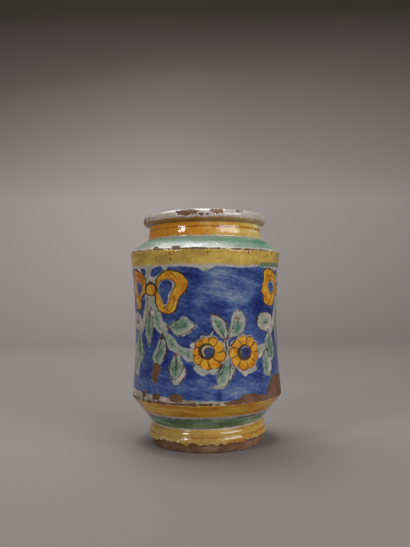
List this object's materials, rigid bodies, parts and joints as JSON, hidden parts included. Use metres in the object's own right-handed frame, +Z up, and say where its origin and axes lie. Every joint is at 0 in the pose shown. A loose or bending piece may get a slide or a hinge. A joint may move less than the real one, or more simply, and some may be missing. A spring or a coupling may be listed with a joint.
{
  "type": "drug jar",
  "caption": "Waisted earthenware drug jar with rolled lip, sloping shoulder and flared foot, tin glazed and painted with bows and flower garlands on a blue ground.",
  "frame": {"origin": "on the jar's axis, in the plane of the foot's underside", "axes": "+Z up the axis from foot to lip; the garland that the picture shows faces -Y"},
  "size_m": [0.1276, 0.1276, 0.19],
  "materials": {
    "terracotta": "fired earthenware, matt and porous, with throwing marks",
    "tin_glaze": "opaque tin glaze, glossy, pitted and worn at the edges",
    "lining_glaze": "thin cream glaze inside, glossy",
    "yellow_colour": "antimony yellow fired into the glaze, brushed in turning strokes",
    "green_colour": "copper green fired into the glaze, brushed in turning strokes",
    "blue_colour": "cobalt blue fired into the glaze, streaky from a broad brush",
    "ochre_colour": "orange ochre fired into the glaze, outlined in dark brown",
    "leaf_colour": "thin copper green over white, outlined in dark brown"
  },
  "bodies": {
    "root": {"foot_ring": "terracotta", "floor_disc": "terracotta", "heel_wall": "terracotta", "drum_wall": "terracotta", "shoulder_wall": "terracotta", "neck_collar": "terracotta", "lip_roll": "terracotta", "foot_glaze": "tin_glaze", "heel_glaze": "tin_glaze", "drum_glaze": "tin_glaze", "shoulder_glaze": "tin_glaze", "neck_glaze": "tin_glaze", "lip_glaze": "tin_glaze", "wall_lining": "lining_glaze", "floor_lining": "lining_glaze", "foot_yellow": "yellow_colour", "heel_yellow": "yellow_colour", "shoulder_yellow": "yellow_colour", "neck_yellow": "yellow_colour", "heel_green": "green_colour", "shoulder_green": "green_colour", "blue_ground": "blue_colour", "flower_eyes": "blue_colour", "bow_ribbons": "ochre_colour", "bow_knots": "ochre_colour", "petals_ochre": "ochre_colour", "stems": "leaf_colour", "leaves": "leaf_colour"}
  },
  "joints": []
}
